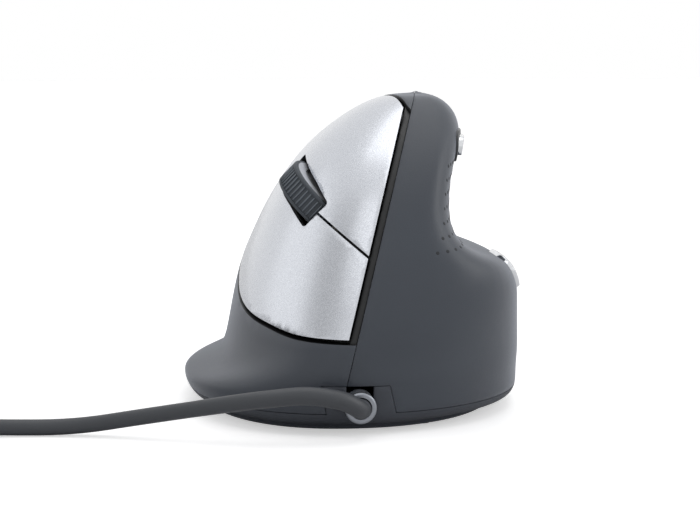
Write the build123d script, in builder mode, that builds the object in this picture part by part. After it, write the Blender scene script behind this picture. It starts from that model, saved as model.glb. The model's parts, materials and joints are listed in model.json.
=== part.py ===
from build123d import *
import math
import os

os.makedirs("parts", exist_ok=True)

# Overall sizes, in millimetres. The mouse stands on its glides at height zero,
# its nose and cord point along -Y, the thumb side is +X and the fingers' side -X.
body_width = 83.0
body_length = 115.2
body_height = 77.4
glide_height = 0.8
overrun = 160.0

# Walls and seams
shell_wall = 2.2
panel_wall = 1.8
frame_depth = 3.2
frame_wall = 1.8
band_depth = 1.0
seam = 0.16
base_seam_height = 5.0

# The outer surface is a stack of closed rings. Each ring is given by its four
# extreme points: left (x, z), right (x, z), front (x, y, z) and back (x, y, z),
# the y of its widest place, and the roundness of the front right, front left
# and back left quarters. All are shares of the body's width, length and height.
ring_shares = [
    ((-0.450, 0.010), (0.437, 0.010), (-0.045, -0.455, 0.010), (0.015, 0.465, 0.010), -0.021, (2.1, 2.3, 2.2)),
    ((-0.492, 0.062), (0.497, 0.044), (-0.045, -0.491, 0.054), (0.015, 0.495, 0.039), -0.056, (2.1, 2.3, 2.1)),
    ((-0.499, 0.094), (0.499, 0.106), (-0.033, -0.498, 0.109), (0.015, 0.500, 0.070), -0.082, (2.1, 2.2, 2.0)),
    ((-0.486, 0.108), (0.499, 0.171), (-0.021, -0.500, 0.163), (0.015, 0.500, 0.098), -0.090, (2.15, 2.15, 1.95)),
    ((-0.431, 0.126), (0.498, 0.233), (-0.009, -0.498, 0.214), (0.015, 0.497, 0.134), -0.090, (2.2, 2.15, 1.95)),
    ((-0.387, 0.160), (0.497, 0.292), (0.015, -0.495, 0.266), (0.015, 0.490, 0.181), -0.082, (2.25, 2.15, 2.0)),
    ((-0.363, 0.240), (0.495, 0.348), (0.039, -0.490, 0.320), (0.021, 0.479, 0.251), -0.073, (2.35, 2.15, 2.1)),
    ((-0.349, 0.313), (0.487, 0.401), (0.063, -0.482, 0.377), (0.021, 0.464, 0.331), -0.073, (2.5, 2.15, 2.2)),
    ((-0.334, 0.382), (0.466, 0.444), (0.087, -0.472, 0.434), (0.027, 0.444, 0.413), -0.073, (2.7, 2.15, 2.3)),
    ((-0.315, 0.451), (0.427, 0.477), (0.105, -0.460, 0.491), (0.033, 0.422, 0.491), -0.073, (2.9, 2.15, 2.3)),
    ((-0.289, 0.522), (0.343, 0.503), (0.123, -0.446, 0.550), (0.039, 0.395, 0.556), -0.082, (3.0, 2.15, 2.3)),
    ((-0.255, 0.605), (0.278, 0.553), (0.136, -0.427, 0.618), (0.045, 0.361, 0.620), -0.090, (3.1, 2.15, 2.3)),
    ((-0.213, 0.687), (0.263, 0.638), (0.148, -0.403, 0.690), (0.057, 0.321, 0.690), -0.095, (3.1, 2.15, 2.3)),
    ((-0.158, 0.774), (0.275, 0.736), (0.166, -0.370, 0.767), (0.075, 0.269, 0.765), -0.099, (3.0, 2.15, 2.3)),
    ((-0.096, 0.848), (0.302, 0.827), (0.184, -0.328, 0.842), (0.105, 0.205, 0.840), -0.103, (2.7, 2.15, 2.3)),
    ((-0.023, 0.913), (0.311, 0.899), (0.202, -0.280, 0.907), (0.136, 0.131, 0.904), -0.108, (2.4, 2.15, 2.3)),
    ((0.058, 0.964), (0.287, 0.953), (0.214, -0.229, 0.959), (0.160, 0.057, 0.956), -0.112, (2.2, 2.15, 2.3)),
    ((0.134, 0.986), (0.242, 0.984), (0.208, -0.177, 0.985), (0.184, -0.018, 0.985), -0.112, (2.1, 2.15, 2.3)),
]
back_right_roundness_share = 2.3
crown_shares = (0.195, -0.100, 0.998)
flange_rings = 5
points_per_quarter = 6

# The parting plane between thumb shell and finger shell
parting_point = Vector(12.65, -27.8, 72.8)
parting_normal_shares = (0.962, -0.147, -0.229)
band_width = 2.0
band_side_gap = 0.5

# The button panel's outline: its crest corners seen from above (x, y), and its
# lower edge seen from the side (y, z)
panel_front_corner = (17.3, -44.9)
panel_crest_corner = (10.95, -25.9)
panel_crest_middle = (9.65, -16.1)
panel_crest_end = (8.45, -4.4)
panel_back_corner = (-60.0, 32.4)
panel_lower_edge = [
    (-75.0, 21.9),
    (-56.0, 22.0),
    (-47.2, 22.4),
    (-40.5, 23.4),
    (-29.6, 24.8),
    (-20.7, 26.4),
    (-12.0, 28.4),
    (0.0, 31.6),
    (14.0, 36.0),
    (45.0, 48.0),
]
panel_gap = 1.1
frame_overlap = 2.5

# The fingers' frame: its origin is the wheel's centre, x runs forward along the
# fingers, y along the wheel's axle and z out of the panel
wheel_centre = Vector(-8.15, -24.9, 50.4)
forward_shares = (0.124, -0.904, -0.409)
outward_shares = (-0.745, -0.357, 0.563)
finger_plane = Plane(origin=wheel_centre, x_dir=forward_shares, z_dir=outward_shares)

# Wheel
wheel_radius = 12.0
wheel_width = 6.2
tyre_thickness = 1.0
tyre_edge = 0.5
tyre_groove = 0.3
tyre_shoulder = 0.8
hub_recess = 0.5
hub_rim = 2.4
axle_radius = 1.5
axle_clearance = 0.05
slot_front = 12.4
slot_corner_radius = 2.0
slot_upper_shares = [(0.97, 0.64), (0.30, 0.68), (-1.22, 0.56)]
slot_lower_shares = [(-1.15, -1.03), (-0.50, -0.94), (0.10, -0.80), (0.97, -0.70)]
slot_rounding = 1.1

# Split between the index button and the middle button
split_point = Vector(-10.95, -38.3, 49.3)
split_normal_shares = (0.62, -0.052, 0.783)
split_gap = 0.6

# Button hinges and switches, placed in the fingers' frame
button_hinge_x = -26.0
button_hinge_z = -6.8
hinge_rod_radius = 1.0
hinge_rod_half = 14.0
rod_end_clearance = 0.3
hinge_centre_y = -7.1
hinge_hub_radius = 2.3
hinge_boss_radius = 2.6
hinge_clearance = 0.05
ear_inner = 4.1
ear_outer = 10.0
ear_side_clearance = 0.3
ear_web = 3.2
switch_x = 12.0
switch_y = 12.0
post_radius = 1.5
post_clearance = 0.7
switch_gap = 0.5
switch_length = 12.8
switch_width = 5.8
switch_height = 6.5
plunger_radius = 0.9
plunger_height = 0.7
board_thickness = 1.6
finger_board_top = -9.0
finger_board_back = -18.0
finger_board_front = 24.0
finger_board_low = -16.5
finger_board_high = 17.0
board_post_radius = 2.4
board_post_places = [(-14.5, -13.0), (-14.5, 13.5), (21.0, -12.5), (21.0, 12.5)]

# Wheel carriage, a ring around the wheel that slides inward for the wheel click
cheek_gap = 0.5
cheek_thickness = 1.6
carriage_end_gap = 0.6
carriage_bar = 3.2
carriage_low = -2.0
carriage_high = 1.2
cheek_radius = 3.4
guide_radius = 0.7
guide_clearance = 0.06
guide_y = 3.0
guide_top = 1.6
encoder_half = 3.5
encoder_thickness = 2.8
click_size = 4.5
click_gap = 0.7
click_y = -2.5
window_clearance = 0.6

# Thumb buttons
thumb_y = -13.0
thumb_z = 64.4
thumb_button_length = 16.0
thumb_button_height = 4.6
thumb_button_spacing = 18.0
thumb_button_proud = 1.4
thumb_button_depth = 2.6
thumb_button_gap = 0.3
trim_margin = 1.5
trim_proud = 0.5
trim_depth = 3.0
stem_radius = 1.3
thumb_board_x = 14.0
thumb_board_length = 36.0
thumb_board_height = 12.0
thumb_board_z = 61.6
thumb_switch_size = 6.0
thumb_switch_height = 4.0
thumb_post_radius = 1.8
thumb_post_z = 57.6
thumb_post_spacing = 24.0
thumb_side_x = 18.5

# Chrome plate on the palm edge
plate_point = Vector(38.0, -22.5, 34.6)
plate_normal_shares = (0.78, -0.08, 0.62)
plate_length = 18.0
plate_height = 9.4
plate_proud = 0.8
plate_seat = 0.7

# Base tab, cord notch and cord collar
tab_top = 11.5
tab_corner_shares = [(-0.147, 1.0), (0.042, 1.0), (0.061, 0.43), (-0.132, 0.43)]
tab_depth_y = 46.0
notch_width = 6.4
cord_exit_x = -3.4
cord_exit_z = 6.8
collar_radius = 3.65
collar_face_y = -59.2
collar_flange = 1.5
collar_bore = 2.55

# Screws, posts and boards
case_post_radius = 2.6
case_boss_radius = 3.4
case_post_top = 8.0
case_boss_top = 20.0
boss_web = 1.6
boss_web_length = 12.0
case_screw_radius = 1.3
case_head_radius = 2.3
case_head_height = 1.6
case_screw_length = 8.6
case_screw_places = [(-28.5, -18.0), (-19.0, 34.0), (35.5, -14.0), (28.5, 27.0)]
board_screw_radius = 0.8
board_head_radius = 1.6
board_head_height = 1.0
board_screw_length = 5.0
main_board_bottom = 6.0
main_board_centre = (4.0, -8.0)
main_board_length = 56.0
main_board_width = 40.0
main_board_inset = 4.0
sensor_place = (0.0, -6.0)
sensor_length = 13.0
sensor_width = 10.0
sensor_height = 2.8
lens_length = 20.0
lens_width = 18.0
lens_plate = 1.2
lens_barrel_radius = 3.2
lens_bottom = 2.2
window_length = 12.0
window_width = 9.0
chip_place = (14.0, -20.0)
chip_size = 7.0
chip_height = 1.2
capacitor_place = (-9.0, 12.0)
capacitor_radius = 2.5
capacitor_height = 7.0
header_width = 12.0
header_depth = 6.0
header_height = 6.4
header_y = -32.0

# Glides
glide_long = 30.0
glide_wide = 8.0
glide_front_y = -41.0
glide_back_y = 43.0
glide_side_x = 28.0

# Cord: the route is by eye along the photographed line. It leaves the collar,
# bends sideways, comes down to the desk and runs on to the coil outside the view
cord_radius = 1.85
boot_radius = 2.25
boot_hold = 2.9
boot_end_share = 0.52
boot_rings = 20
rest_gap = 0.05
run_share = 0.45
boot_route = [
    (cord_exit_x, collar_face_y + boot_hold, cord_exit_z),
    (cord_exit_x, -61.6, cord_exit_z),
    (-7.6, -63.6, 9.6),
    (-16.0, -64.0, 11.2),
    (-29.0, -62.2, 9.8),
]
lead_route = [
    (-53.0, -52.8, 4.9),
    (-68.0, -48.0, cord_radius + rest_gap),
    (-84.0, -46.6, cord_radius + rest_gap),
]
inner_route = [
    (cord_exit_x, collar_face_y + boot_hold, cord_exit_z),
    (cord_exit_x, -50.5, cord_exit_z),
    (cord_exit_x, -42.0, 10.2),
    (cord_exit_x, -35.0, 10.2),
]

# Coil of the cord's unseen length, its tie and the plug
coil_centre_x = -118.0
coil_lead_y = -47.0
coil_start_radius = 27.0
coil_pitch = 5.0
coil_layer = 4.4
coil_half_turns = 4
coil_layers = 4
tie_thickness = 0.8
tie_width = 7.0
tie_clearance = 0.3
tie_corner = 1.5
plug_grip_length = 26.0
plug_grip_width = 16.0
plug_grip_height = 8.4
plug_grip_corner = 2.4
plug_shell_length = 12.4
plug_shell_seat = 6.0
plug_shell_width = 12.0
plug_shell_height = 4.5
plug_shell_wall = 0.35
plug_shell_corner = 0.6
plug_tongue_height = 1.8
plug_tongue_recess = 0.8
plug_x = -186.5
plug_y = -59.0
plug_z = plug_grip_height / 2 + rest_gap
tail_lead = 9.3
tail_route = [
    (-143.5, -50.8, 11.2),
    (-154.5, -53.4, 5.6),
    (-164.5, -56.6, 2.4),
    (-173.0, -58.6, 3.1),
    (-180.0, plug_y, plug_z),
    (plug_x, plug_y, plug_z),
]


def ring_points(shares):
    """The points of one ring, counterclockwise from its right extreme."""
    left, right, front, back, middle_share, roundness = shares
    left_end = (left[0] * body_width, left[1] * body_height)
    right_end = (right[0] * body_width, right[1] * body_height)
    front_end = (front[0] * body_width, front[1] * body_length, front[2] * body_height)
    back_end = (back[0] * body_width, back[1] * body_length, back[2] * body_height)
    middle_y = middle_share * body_length
    quarters = [
        (right_end, back_end, back_right_roundness_share, False),
        (left_end, back_end, roundness[2], True),
        (left_end, front_end, roundness[1], False),
        (right_end, front_end, roundness[0], True),
    ]
    points = []
    for side, end, power, starts_at_end in quarters:
        for step in range(points_per_quarter):
            angle = step / points_per_quarter * math.pi / 2
            to_side, to_end = math.cos(angle), math.sin(angle)
            if starts_at_end:
                to_side, to_end = to_end, to_side
            x = end[0] + (side[0] - end[0]) * to_side ** (2 / power)
            y = middle_y + (end[1] - middle_y) * to_end ** (2 / power)
            z = side[1] * to_side**2 + end[2] * to_end**2
            points.append(Vector(x, y, z))
    return points


def ring_marks():
    """Parameters shared by every ring's spline, from the mean spacing of its points."""
    rings = [ring_points(shares) for shares in ring_shares]
    marks = [0.0]
    for index in range(len(rings[0])):
        steps = [(ring[(index + 1) % len(ring)] - ring[index]).length for ring in rings]
        marks.append(marks[-1] + sum(steps) / len(steps) / body_length)
    return marks


def ring_wire(points):
    """A smooth closed wire through the points, with the shared parameters."""
    return Wire([Edge.make_spline(points, periodic=True, parameters=ring_marks())])


def body_solid(inset):
    """The body's solid, its surface moved inward by the inset, level at the flange."""
    rings = [ring_points(shares) for shares in ring_shares]
    count = len(rings[0])
    stack = []
    for row, ring in enumerate(rings):
        below = rings[max(row - 1, 0)]
        above = rings[min(row + 1, len(rings) - 1)]
        moved = []
        for index, point in enumerate(ring):
            along = ring[(index + 1) % count] - ring[index - 1]
            outward = along.cross(above[index] - below[index])
            if row <= flange_rings:
                outward = Vector(outward.X, outward.Y, 0)
            moved.append(point - outward.normalized() * inset)
        stack.append(moved)
    floor = glide_height + min(inset, shell_wall)
    stack[0] = [Vector(point.X, point.Y, floor) for point in stack[0]]
    stack.insert(1, [(low + high) / 2 for low, high in zip(stack[0], stack[1])])
    crown_x = crown_shares[0] * body_width
    crown_y = crown_shares[1] * body_length
    crown = Vertex(crown_x, crown_y, crown_shares[2] * body_height - inset)
    return Solid.make_loft([ring_wire(points) for points in stack] + [crown])


def panel_prism(gap, right_plane):
    """The space of the button panel, grown by a gap, left of a plane."""
    far_left = -overrun
    with BuildPart() as space:
        with BuildSketch(Plane.XY):
            with BuildLine():
                Polyline(
                    panel_front_corner,
                    panel_crest_corner,
                    panel_crest_middle,
                    panel_crest_end,
                    panel_back_corner,
                    (far_left, panel_back_corner[1]),
                    (far_left, -overrun),
                    (panel_front_corner[0], -overrun),
                    close=True,
                )
            make_face()
            if gap > 0:
                offset(amount=gap, kind=Kind.INTERSECTION)
        extrude(amount=overrun)
        with BuildSketch(Plane.YZ):
            with BuildLine():
                lower = [(y, z - gap) for y, z in panel_lower_edge]
                Spline(*lower)
                Polyline(lower[-1], (lower[-1][0], overrun), (lower[0][0], overrun), lower[0])
            make_face()
        extrude(amount=overrun, both=True, mode=Mode.INTERSECT)
        split(bisect_by=right_plane, keep=Keep.BOTTOM)
    return space.part


def base_zone(grow):
    """The space of the base: everything below its seam, and the front tab."""
    with BuildPart() as zone:
        with BuildSketch(Plane.XY):
            Rectangle(overrun, overrun)
        extrude(amount=base_seam_height + grow)
        with BuildSketch(Plane.XZ.offset(tab_depth_y - grow)):
            with BuildLine():
                Polyline(*[(x * body_width, z * tab_top) for x, z in tab_corner_shares], close=True)
            make_face()
            if grow > 0:
                offset(amount=grow, kind=Kind.INTERSECTION)
        extrude(amount=overrun)
    return zone.part


def finger_point(x, y, z):
    return finger_plane.from_local_coords(Vector(x, y, z))


def finger_level(z):
    return finger_plane.offset(z)


def axle_level(x, y, z):
    """A plane across the axle direction, with its origin in the fingers' frame."""
    return Plane(origin=finger_point(x, y, z), x_dir=finger_plane.x_dir, z_dir=finger_plane.y_dir)


def save(builder, name):
    builder.part.label = name
    export_step(builder.part, f"parts/{name}.step")


# Body surfaces at the depths that the pieces need
outer_body = body_solid(0)
cavity = body_solid(shell_wall)
panel_back = body_solid(panel_wall)
band_body = body_solid(band_depth)
frame_top = body_solid(frame_depth)
frame_back = body_solid(frame_depth + frame_wall)

parting_plane = Plane(origin=parting_point, z_dir=parting_normal_shares)
panel_space = panel_prism(0, parting_plane.offset(-band_width))
opening_space = panel_prism(panel_gap, parting_plane.offset(-seam / 2))
pocket_space = panel_prism(panel_gap, parting_plane.offset(band_side_gap - band_width))
frame_space = panel_prism(panel_gap + frame_overlap, parting_plane.offset(frame_overlap))
base_space = base_zone(0)
base_clearance_space = base_zone(seam)

# Prism of the thumb buttons and their trim, looking along X
thumb_plane = Plane(origin=(thumb_side_x, thumb_y, thumb_z), x_dir=(0, 1, 0), z_dir=(1, 0, 0))
thumb_button_places = [(-thumb_button_spacing / 2, 0), (thumb_button_spacing / 2, 0)]
thumb_post_places = [(thumb_y + side * thumb_post_spacing / 2, thumb_post_z) for side in (-1, 1)]
trim_length = thumb_button_spacing + thumb_button_length + 2 * trim_margin
trim_height = thumb_button_height + 2 * trim_margin

with BuildPart() as trim_space:
    with BuildSketch(thumb_plane):
        SlotOverall(trim_length, trim_height)
    extrude(amount=overrun)

plate_plane = Plane(origin=plate_point, x_dir=(0, 1, 0), z_dir=plate_normal_shares)
with BuildPart() as plate_space:
    with BuildSketch(plate_plane.offset(-plate_height)):
        SlotOverall(plate_length, plate_height)
    extrude(amount=overrun)


def case_bosses(places):
    """Screw bosses standing in the upper shells, rooted in the wall."""
    with BuildPart() as bosses:
        with BuildSketch(Plane.XY.offset(case_post_top)):
            with Locations(*places):
                Circle(case_boss_radius)
            with Locations(*[(x + math.copysign(boss_web_length / 2, x), y) for x, y in places]):
                Rectangle(boss_web_length, boss_web)
        extrude(amount=case_boss_top - case_post_top)
        add(panel_back, mode=Mode.INTERSECT)
        with BuildSketch(Plane.XY.offset(case_post_top)):
            with Locations(*places):
                Circle(case_screw_radius)
        bore = glide_height + case_head_height + case_screw_length - case_post_top
        extrude(amount=bore + seam, mode=Mode.SUBTRACT)
    return bosses.part


with BuildPart() as plate_pocket:
    add(plate_space.part)
    add(body_solid(plate_seat), mode=Mode.SUBTRACT)

with BuildPart() as thumb_posts:
    with BuildSketch(Plane.YZ.offset(thumb_board_x + board_thickness)):
        with Locations(*thumb_post_places):
            Circle(thumb_post_radius)
            Circle(board_screw_radius, mode=Mode.SUBTRACT)
    extrude(amount=overrun)
    add(panel_back, mode=Mode.INTERSECT)

# Thumb shell, the right half of the housing
with BuildPart() as thumb_shell:
    add(outer_body)
    add(cavity, mode=Mode.SUBTRACT)
    split(bisect_by=parting_plane.offset(seam / 2), keep=Keep.TOP)
    add(base_clearance_space, mode=Mode.SUBTRACT)
    add(trim_space.part, mode=Mode.SUBTRACT)
    add(plate_pocket.part, mode=Mode.SUBTRACT)
    add(case_bosses(case_screw_places[2:]))
    add(thumb_posts.part)
save(thumb_shell, "thumb_shell")

# Finger shell, the left half of the housing with the flange and the crest ridge
with BuildPart() as finger_shell:
    add(outer_body)
    add(cavity, mode=Mode.SUBTRACT)
    split(bisect_by=parting_plane.offset(-seam / 2), keep=Keep.BOTTOM)
    add(base_clearance_space, mode=Mode.SUBTRACT)
    add(opening_space, mode=Mode.SUBTRACT)
    add(case_bosses(case_screw_places[:2]))
save(finger_shell, "finger_shell")

# Base shell: floor, lower wall and front tab, with posts for screws and boards
board_corners = [
    (
        main_board_centre[0] + side * (main_board_width / 2 - main_board_inset),
        main_board_centre[1] + end * (main_board_length / 2 - main_board_inset),
    )
    for side in (-1, 1)
    for end in (-1, 1)
]
collar_plane = Plane(origin=(cord_exit_x, collar_face_y, cord_exit_z), x_dir=(1, 0, 0), z_dir=(0, -1, 0))
collar_depth = 2 * collar_flange + shell_wall + 4 * seam
with BuildPart() as base_shell:
    add(outer_body)
    add(base_space, mode=Mode.INTERSECT)
    add(cavity, mode=Mode.SUBTRACT)
    with BuildSketch(Plane.XY.offset(glide_height)):
        with Locations(*case_screw_places):
            Circle(case_post_radius)
    extrude(amount=case_post_top - glide_height)
    with BuildSketch(Plane.XY.offset(glide_height)):
        with Locations(*board_corners):
            Circle(board_post_radius)
    extrude(amount=main_board_bottom - glide_height)
    with BuildSketch(Plane.XY.offset(glide_height)):
        with Locations(*board_corners):
            Circle(board_screw_radius)
    extrude(amount=main_board_bottom, mode=Mode.SUBTRACT)
    with BuildSketch(Plane.XY):
        with Locations(*case_screw_places):
            Circle(case_screw_radius)
    extrude(amount=overrun, mode=Mode.SUBTRACT)
    with BuildSketch(Plane.XY):
        with Locations(*case_screw_places):
            Circle(case_head_radius)
    extrude(amount=glide_height + case_head_height, mode=Mode.SUBTRACT)
    with BuildSketch(Plane.XY):
        with Locations(sensor_place):
            Rectangle(window_width, window_length)
    extrude(amount=glide_height + 2 * shell_wall, mode=Mode.SUBTRACT)
    with BuildSketch(Plane.XZ.offset(tab_depth_y)):
        with Locations((cord_exit_x, cord_exit_z)):
            Circle(notch_width / 2)
        with Locations((cord_exit_x, cord_exit_z + tab_top / 2)):
            Rectangle(notch_width, tab_top)
    extrude(amount=overrun, mode=Mode.SUBTRACT)
    with BuildSketch(collar_plane.offset(-collar_depth - seam)):
        Circle(collar_radius + seam)
    extrude(amount=collar_flange + 2 * seam, mode=Mode.SUBTRACT)
save(base_shell, "base_shell")

# Button frame: a dark inner wall under the panel, with the band beside it
frame_holes = [(switch_x - plunger_radius, switch_y), (switch_x - plunger_radius, -switch_y)]
window_back = -(wheel_radius + carriage_end_gap + carriage_bar + window_clearance)
window_low = -(wheel_width / 2 + cheek_gap + cheek_thickness + window_clearance)
window_high = -window_low + encoder_thickness
with BuildPart() as frame_band:
    add(band_body)
    add(opening_space, mode=Mode.INTERSECT)
with BuildPart() as panel_pocket:
    add(pocket_space)
    add(frame_top, mode=Mode.SUBTRACT)

hinge_low = hinge_centre_y - hinge_rod_half
hinge_boss_spans = [
    (hinge_low, hinge_centre_y - ear_outer - ear_side_clearance),
    (hinge_centre_y - ear_inner + ear_side_clearance, hinge_centre_y + ear_inner - ear_side_clearance),
    (hinge_centre_y + ear_outer + ear_side_clearance, hinge_centre_y + hinge_rod_half),
]


def ear_span(side):
    """Where one button's hinge ear starts and ends along the hinge line."""
    return sorted((hinge_centre_y + side * ear_inner, hinge_centre_y + side * ear_outer))


def hinge_blocks(spans, radius, width):
    """Round hubs on the hinge line with webs that rise to the wall above."""
    with BuildPart() as blocks:
        for low, high in spans:
            with BuildSketch(axle_level(button_hinge_x, low, button_hinge_z)):
                Circle(radius)
            extrude(amount=high - low)
            with BuildSketch(finger_level(button_hinge_z)):
                with Locations((button_hinge_x, (low + high) / 2)):
                    Rectangle(width, high - low)
            extrude(amount=-button_hinge_z)
    return blocks.part


with BuildPart() as frame_posts:
    with BuildSketch(finger_level(finger_board_top)):
        with Locations(*board_post_places):
            Circle(board_post_radius)
    extrude(amount=-finger_board_top)
    add(hinge_blocks(hinge_boss_spans, hinge_boss_radius, 2 * hinge_boss_radius))
    add(frame_top, mode=Mode.INTERSECT)

with BuildPart() as button_frame:
    add(cavity)
    add(frame_space, mode=Mode.INTERSECT)
    add(frame_band.part)
    add(panel_pocket.part, mode=Mode.SUBTRACT)
    add(frame_back, mode=Mode.SUBTRACT)
    with BuildSketch(finger_plane.offset(finger_board_top)):
        with Locations(*frame_holes):
            Rectangle(switch_length + 2 * post_clearance, switch_width + 2 * post_clearance)
    extrude(amount=switch_height + plunger_height, mode=Mode.SUBTRACT)
    with BuildSketch(finger_plane.offset(finger_board_top)):
        with Locations((switch_x, switch_y), (switch_x, -switch_y)):
            Circle(post_radius + post_clearance)
        with Locations((0, (window_low + window_high) / 2)):
            Rectangle(-2 * window_back, window_high - window_low)
        with Locations(*[(button_hinge_x, sum(ear_span(side)) / 2) for side in (-1, 1)]):
            Rectangle(
                2 * (hinge_hub_radius + window_clearance),
                ear_outer - ear_inner + 2 * ear_side_clearance,
            )
    extrude(amount=overrun, mode=Mode.SUBTRACT)
    add(frame_posts.part)
    with BuildSketch(finger_level(finger_board_top)):
        with Locations(*board_post_places):
            Circle(board_screw_radius)
    extrude(amount=board_screw_length - board_thickness + seam, mode=Mode.SUBTRACT)
    with BuildSketch(axle_level(button_hinge_x, hinge_low, button_hinge_z)):
        Circle(hinge_rod_radius)
    extrude(amount=2 * hinge_rod_half, mode=Mode.SUBTRACT)
save(button_frame, "button_frame")

# Hinge rod of both buttons
with BuildPart() as hinge_rod:
    with BuildSketch(axle_level(button_hinge_x, hinge_low, button_hinge_z)):
        Circle(hinge_rod_radius)
    extrude(amount=2 * hinge_rod_half)
save(hinge_rod, "hinge_rod")

# Button panel, cut by the wheel slot
with BuildPart() as button_panel:
    add(outer_body)
    add(panel_space, mode=Mode.INTERSECT)
    add(panel_back, mode=Mode.SUBTRACT)
    with BuildSketch(axle_level(button_hinge_x, hinge_low - ear_side_clearance, button_hinge_z)):
        Circle(hinge_rod_radius + rod_end_clearance)
    extrude(amount=2 * (hinge_rod_half + ear_side_clearance), mode=Mode.SUBTRACT)
    with BuildSketch(finger_level(finger_board_top)) as slot_shape:
        with BuildLine():
            upper = [(x * slot_front, y * wheel_width) for x, y in slot_upper_shares]
            lower = [(x * slot_front, y * wheel_width) for x, y in slot_lower_shares]
            Polyline(upper[0], *upper[1:], *lower, close=True)
        make_face()
        fillet(slot_shape.vertices(), slot_rounding)
    extrude(amount=overrun, mode=Mode.SUBTRACT)

split_plane = Plane(origin=split_point, z_dir=split_normal_shares)


def button_inner_parts(side):
    """The hinge ear and the switch post of one button, rooted in its panel."""
    span = ear_span(side)
    with BuildPart() as inner_parts:
        add(hinge_blocks([span], hinge_hub_radius, ear_web))
        with BuildSketch(finger_level(finger_board_top + switch_height + plunger_height + switch_gap)):
            with Locations((switch_x, side * switch_y)):
                Circle(post_radius)
        extrude(amount=wheel_radius)
        add(band_body, mode=Mode.INTERSECT)
        with BuildSketch(axle_level(button_hinge_x, span[0], button_hinge_z)):
            Circle(hinge_rod_radius + hinge_clearance)
        extrude(amount=span[1] - span[0], mode=Mode.SUBTRACT)
    return inner_parts.part


with BuildPart() as index_button:
    add(button_panel.part)
    split(bisect_by=split_plane.offset(split_gap / 2), keep=Keep.TOP)
    add(button_inner_parts(1))
save(index_button, "index_button")

with BuildPart() as middle_button:
    add(button_panel.part)
    split(bisect_by=split_plane.offset(-split_gap / 2), keep=Keep.BOTTOM)
    add(button_inner_parts(-1))
save(middle_button, "middle_button")

# Wheel: rubber tyre with a groove for its ribs, hub and axle
half_width = wheel_width / 2
tyre_inner = wheel_radius - tyre_thickness
with BuildPart() as wheel_tyre:
    with BuildSketch(axle_level(0, -half_width, 0)):
        Circle(wheel_radius)
        Circle(tyre_inner, mode=Mode.SUBTRACT)
    extrude(amount=wheel_width)
    outer_edges = wheel_tyre.edges().filter_by(GeomType.CIRCLE).group_by(lambda edge: edge.radius)[-1]
    fillet(outer_edges, tyre_edge)
    with BuildSketch(axle_level(0, -half_width + tyre_shoulder, 0)):
        Circle(wheel_radius)
        Circle(wheel_radius - tyre_groove, mode=Mode.SUBTRACT)
    extrude(amount=wheel_width - 2 * tyre_shoulder, mode=Mode.SUBTRACT)
save(wheel_tyre, "wheel_tyre")

with BuildPart() as wheel_hub:
    with BuildSketch(axle_level(0, -half_width, 0)):
        Circle(tyre_inner)
        Circle(axle_radius, mode=Mode.SUBTRACT)
    extrude(amount=wheel_width)
    for start in (-half_width, half_width - hub_recess):
        with BuildSketch(axle_level(0, start, 0)):
            Circle(tyre_inner - hub_rim)
            Circle(2 * axle_radius, mode=Mode.SUBTRACT)
        extrude(amount=hub_recess, mode=Mode.SUBTRACT)
save(wheel_hub, "wheel_hub")

cheek_inner = half_width + cheek_gap
cheek_outer = cheek_inner + cheek_thickness
axle_back = -cheek_outer
axle_front = cheek_outer + encoder_thickness / 2
with BuildPart() as wheel_axle:
    with BuildSketch(axle_level(0, axle_back, 0)):
        Circle(axle_radius)
    extrude(amount=axle_front - axle_back)
save(wheel_axle, "wheel_axle")

# Carriage: two cheeks and two end bars around the wheel
bar_inner = wheel_radius + carriage_end_gap
bar_outer = bar_inner + carriage_bar
guide_x = (bar_inner + bar_outer) / 2
guide_places = [(-guide_x, guide_y), (guide_x, guide_y)]
with BuildPart() as wheel_carriage:
    with BuildSketch(finger_level(carriage_low)):
        Rectangle(2 * bar_outer, 2 * cheek_outer)
        Rectangle(2 * bar_inner, 2 * cheek_inner, mode=Mode.SUBTRACT)
    extrude(amount=carriage_high - carriage_low)
    for start in (-cheek_outer, cheek_inner):
        with BuildSketch(axle_level(0, start, 0)):
            Circle(cheek_radius)
        extrude(amount=cheek_thickness)
    with BuildSketch(axle_level(0, -cheek_outer, 0)):
        Circle(axle_radius + axle_clearance)
    extrude(amount=2 * cheek_outer, mode=Mode.SUBTRACT)
    with BuildSketch(finger_level(carriage_low)):
        with Locations(*guide_places):
            Circle(guide_radius + guide_clearance)
    extrude(amount=carriage_high - carriage_low, mode=Mode.SUBTRACT)
save(wheel_carriage, "wheel_carriage")

with BuildPart() as wheel_encoder:
    with BuildSketch(axle_level(0, cheek_outer, 0)):
        Rectangle(2 * encoder_half, 2 * encoder_half)
    extrude(amount=encoder_thickness)
    fillet(wheel_encoder.edges().filter_by(Axis(finger_plane.origin, finger_plane.y_dir)), tyre_edge)
    with BuildSketch(axle_level(0, cheek_outer, 0)):
        Circle(axle_radius + axle_clearance)
    extrude(amount=encoder_thickness / 2 + axle_clearance, mode=Mode.SUBTRACT)
save(wheel_encoder, "wheel_encoder")

# Finger board with the three switches and the carriage's guide pins
board_middle_x = (finger_board_front + finger_board_back) / 2
board_middle_y = (finger_board_high + finger_board_low) / 2
finger_board_bottom = finger_board_top - board_thickness
wheel_chord = math.sqrt(wheel_radius**2 - finger_board_top**2) + click_gap + window_clearance
with BuildPart() as finger_board:
    with BuildSketch(finger_level(finger_board_bottom)):
        with Locations((board_middle_x, board_middle_y)):
            RectangleRounded(
                finger_board_front - finger_board_back,
                finger_board_high - finger_board_low,
                slot_corner_radius,
            )
        Rectangle(2 * wheel_chord, 2 * cheek_inner, mode=Mode.SUBTRACT)
        with Locations(*board_post_places):
            Circle(board_screw_radius, mode=Mode.SUBTRACT)
        with Locations(*guide_places):
            Circle(guide_radius, mode=Mode.SUBTRACT)
    extrude(amount=board_thickness)
save(finger_board, "finger_board")

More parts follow.
